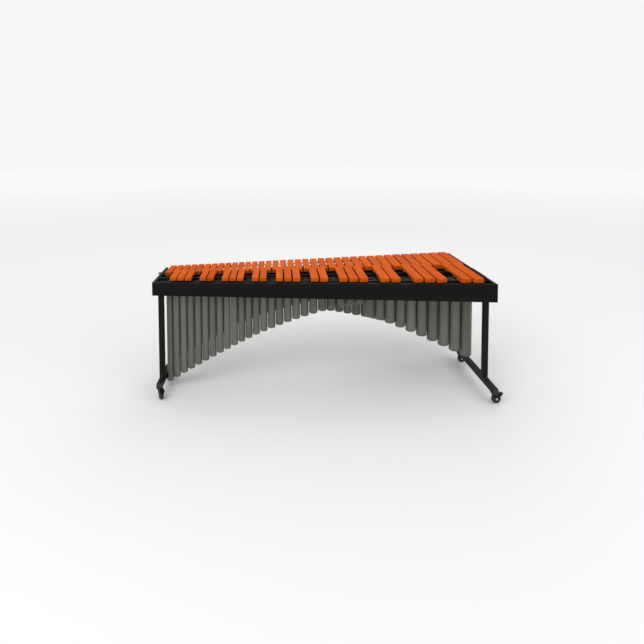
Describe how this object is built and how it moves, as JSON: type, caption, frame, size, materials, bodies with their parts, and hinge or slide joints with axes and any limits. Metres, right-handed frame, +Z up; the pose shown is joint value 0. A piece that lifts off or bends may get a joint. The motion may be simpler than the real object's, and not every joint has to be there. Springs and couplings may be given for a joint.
{
  "type": "concert marimba",
  "caption": "Concert marimba: tapered black frame, orange wooden bars on cords in two rows, an arch of grey tube resonators and wheeled end stands.",
  "frame": {"origin": "on the floor, at the middle of the whole instrument's box, at the lowest height setting", "axes": "+X along the keyboard from the treble end to the bass end, -Y to the audience side, +Z up"},
  "size_m": [2.744, 1.162, 0.947],
  "materials": {
    "bar_wood": "oiled rosewood colour, satin",
    "tube_paint": "grey anodised, satin",
    "frame_black": "black lacquer, satin",
    "rail_black": "slate black lacquer, matt",
    "stand_black": "black powder coat",
    "steel": "zinc plated",
    "rubber": "matt",
    "knob": "matt",
    "cord": "dark braid"
  },
  "bodies": {
    "keyboard": {"natural_bars_1": "bar_wood", "natural_bars_2": "bar_wood", "natural_bars_3": "bar_wood", "natural_bars_4": "bar_wood", "natural_bars_5": "bar_wood", "accidental_bars_1": "bar_wood", "accidental_bars_2": "bar_wood", "accidental_bars_3": "bar_wood", "accidental_bars_4": "bar_wood", "accidental_bars_5": "bar_wood", "natural_cord": "cord", "accidental_cord": "cord", "natural_cord_posts": "rail_black", "accidental_cord_posts": "rail_black", "cord_tie_peg": "steel", "accidental_front_rail": "rail_black", "accidental_rear_rail": "rail_black", "natural_front_rail": "rail_black", "natural_rear_rail": "rail_black", "front_apron": "frame_black", "treble_end_panel": "frame_black", "bass_end_panel": "frame_black", "cross_braces": "rail_black", "rail_bolts": "steel", "resonator_hangers": "steel", "bass_front_inner_post": "steel", "bass_rear_inner_post": "steel", "treble_inner_post": "steel"},
    "front_treble_bank": {"front_treble_tubes": "tube_paint", "front_treble_caps": "tube_paint", "front_treble_strips": "tube_paint"},
    "front_bass_bank": {"front_bass_tubes": "tube_paint", "front_bass_caps": "tube_paint", "front_bass_strips": "tube_paint"},
    "rear_treble_bank": {"rear_treble_tubes": "tube_paint", "rear_treble_caps": "tube_paint", "rear_treble_strips": "tube_paint"},
    "rear_bass_bank": {"rear_bass_tubes": "tube_paint", "rear_bass_caps": "tube_paint", "rear_bass_strips": "tube_paint"},
    "bass_stand": {"bass_foot_bar": "stand_black", "bass_front_post": "stand_black", "bass_rear_post": "stand_black"},
    "treble_stand": {"treble_foot_bar": "stand_black", "treble_post": "stand_black"},
    "bass_front_clamp": {"bass_front_knob": "knob"},
    "bass_rear_clamp": {"bass_rear_knob": "knob"},
    "treble_clamp": {"treble_knob": "knob"},
    "bass_front_caster": {"bass_front_fork": "stand_black"},
    "bass_front_roller": {"bass_front_wheel": "rubber"},
    "bass_front_pedal": {"bass_front_brake": "stand_black"},
    "bass_rear_caster": {"bass_rear_fork": "stand_black"},
    "bass_rear_roller": {"bass_rear_wheel": "rubber"},
    "bass_rear_pedal": {"bass_rear_brake": "stand_black"},
    "treble_front_caster": {"treble_front_fork": "stand_black"},
    "treble_front_roller": {"treble_front_wheel": "rubber"},
    "treble_front_pedal": {"treble_front_brake": "stand_black"},
    "treble_rear_caster": {"treble_rear_fork": "stand_black"},
    "treble_rear_roller": {"treble_rear_wheel": "rubber"},
    "treble_rear_pedal": {"treble_rear_brake": "stand_black"}
  },
  "joints": [
    {"name": "bass_height", "type": "slide", "parent": "bass_stand", "child": "keyboard", "axis": [0, 0, 1], "range_m": [0, 0.12]},
    {"name": "treble_height", "type": "slide", "parent": "keyboard", "child": "treble_stand", "axis": [0, 0, -1], "range_m": [0, 0.12]},
    {"name": "front_bass_bank_lift", "type": "slide", "parent": "keyboard", "child": "front_bass_bank", "axis": [0, 0, 1], "range_m": [0, 0.015]},
    {"name": "front_treble_bank_lift", "type": "slide", "parent": "keyboard", "child": "front_treble_bank", "axis": [0, 0, 1], "range_m": [0, 0.015]},
    {"name": "rear_bass_bank_lift", "type": "slide", "parent": "keyboard", "child": "rear_bass_bank", "axis": [0, 0, 1], "range_m": [0, 0.015]},
    {"name": "rear_treble_bank_lift", "type": "slide", "parent": "keyboard", "child": "rear_treble_bank", "axis": [0, 0, 1], "range_m": [0, 0.015]},
    {"name": "bass_front_swivel", "type": "hinge", "parent": "bass_stand", "child": "bass_front_caster", "pos_m": [1.299, -0.539, 0.085], "axis": [0, 0, 1], "continuous": true},
    {"name": "bass_front_roll", "type": "hinge", "parent": "bass_front_caster", "child": "bass_front_roller", "pos_m": [1.319, -0.539, 0.036], "axis": [0, -1, 0], "continuous": true},
    {"name": "bass_front_brake_press", "type": "hinge", "parent": "bass_front_caster", "child": "bass_front_pedal", "pos_m": [1.345, -0.539, 0.072], "axis": [0, -1, 0], "range_deg": [-10, 0]},
    {"name": "bass_rear_swivel", "type": "hinge", "parent": "bass_stand", "child": "bass_rear_caster", "pos_m": [1.299, 0.147, 0.085], "axis": [0, 0, 1], "continuous": true},
    {"name": "bass_rear_roll", "type": "hinge", "parent": "bass_rear_caster", "child": "bass_rear_roller", "pos_m": [1.319, 0.147, 0.036], "axis": [0, -1, 0], "continuous": true},
    {"name": "bass_rear_brake_press", "type": "hinge", "parent": "bass_rear_caster", "child": "bass_rear_pedal", "pos_m": [1.345, 0.147, 0.072], "axis": [0, -1, 0], "range_deg": [-10, 0]},
    {"name": "treble_front_swivel", "type": "hinge", "parent": "treble_stand", "child": "treble_front_caster", "pos_m": [-1.29, -0.221, 0.085], "axis": [0, 0, 1], "continuous": true},
    {"name": "treble_front_roll", "type": "hinge", "parent": "treble_front_caster", "child": "treble_front_roller", "pos_m": [-1.28, -0.23832, 0.036], "axis": [-0.866, -0.5, 0], "continuous": true},
    {"name": "treble_front_brake_press", "type": "hinge", "parent": "treble_front_caster", "child": "treble_front_pedal", "pos_m": [-1.267, -0.26084, 0.072], "axis": [-0.866, -0.5, 0], "range_deg": [-10, 0]},
    {"name": "treble_rear_swivel", "type": "hinge", "parent": "treble_stand", "child": "treble_rear_caster", "pos_m": [-1.29, 0.055, 0.085], "axis": [0, 0, 1], "continuous": true},
    {"name": "treble_rear_roll", "type": "hinge", "parent": "treble_rear_caster", "child": "treble_rear_roller", "pos_m": [-1.29, 0.075, 0.036], "axis": [1, 0, 0], "continuous": true},
    {"name": "treble_rear_brake_press", "type": "hinge", "parent": "treble_rear_caster", "child": "treble_rear_pedal", "pos_m": [-1.29, 0.101, 0.072], "axis": [1, 0, 0], "range_deg": [-10, 0]},
    {"name": "bass_front_clamp_turn", "type": "hinge", "parent": "bass_stand", "child": "bass_front_clamp", "pos_m": [1.299, -0.356, 0.743], "axis": [0, 1, 0], "range_deg": [-270, 0]},
    {"name": "bass_rear_clamp_turn", "type": "hinge", "parent": "bass_stand", "child": "bass_rear_clamp", "pos_m": [1.299, 0.131, 0.743], "axis": [0, 1, 0], "range_deg": [-270, 0]},
    {"name": "treble_clamp_turn", "type": "hinge", "parent": "treble_stand", "child": "treble_clamp", "pos_m": [-1.29, -0.121, 0.782], "axis": [0, 1, 0], "range_deg": [-270, 0]}
  ],
  "couplings": [
    {"joint": "treble_height", "follows": "bass_height", "ratio": 1}
  ]
}
